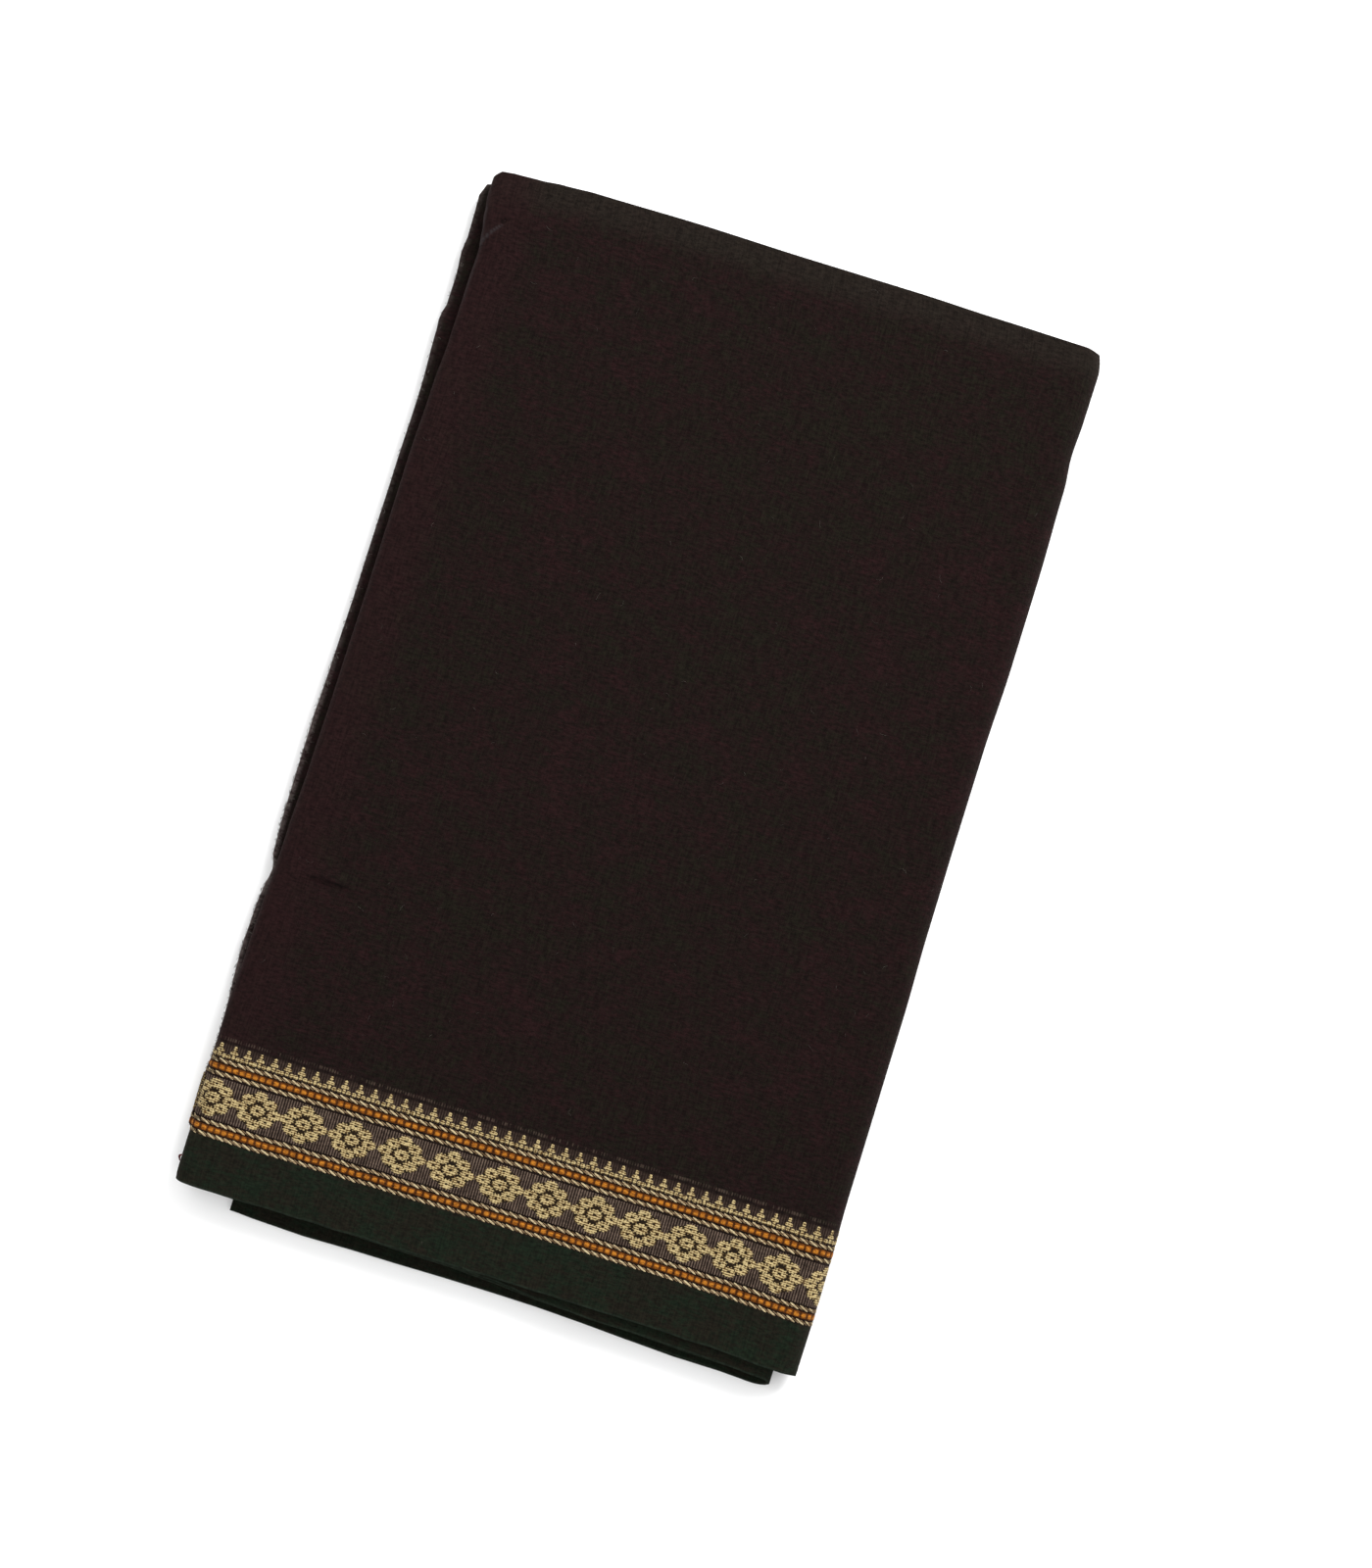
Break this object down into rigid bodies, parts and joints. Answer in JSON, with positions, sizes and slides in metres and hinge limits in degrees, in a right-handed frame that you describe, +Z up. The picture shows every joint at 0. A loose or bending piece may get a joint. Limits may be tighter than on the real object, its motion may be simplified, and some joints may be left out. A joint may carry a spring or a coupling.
{
  "type": "folded saree",
  "caption": "Length of dark cotton saree cloth with a woven flower and stripe border, folded into a flat oblong packet that lies on its underside.",
  "frame": {"origin": "centre of the packet's outline on the surface it lies on", "axes": "+Z up out of the top of the packet, +Y from the selvedges to the lengthwise fold, +X from the open left side to the folded right side"},
  "size_m": [0.3566, 0.593, 0.0231],
  "materials": {
    "field_cloth": "plain-woven cotton, near-black brown shot with green and maroon, matt with a soft nap",
    "border_cloth": "supplementary-woven border of cream flowers and orange blocks on brown, slightly raised",
    "selvedge_cloth": "plain dark green cotton, closely woven, matt"
  },
  "bodies": {
    "root": {"outer_stretch_selvedge": "selvedge_cloth", "outer_stretch_border": "border_cloth", "outer_stretch_field": "field_cloth", "second_stretch_selvedge": "selvedge_cloth", "second_stretch_field": "field_cloth", "end_stretch_selvedge": "selvedge_cloth", "end_stretch_field": "field_cloth", "left_fold_selvedge": "selvedge_cloth", "left_fold_border": "border_cloth", "left_fold_field": "field_cloth", "hidden_layers": "field_cloth"}
  },
  "joints": []
}
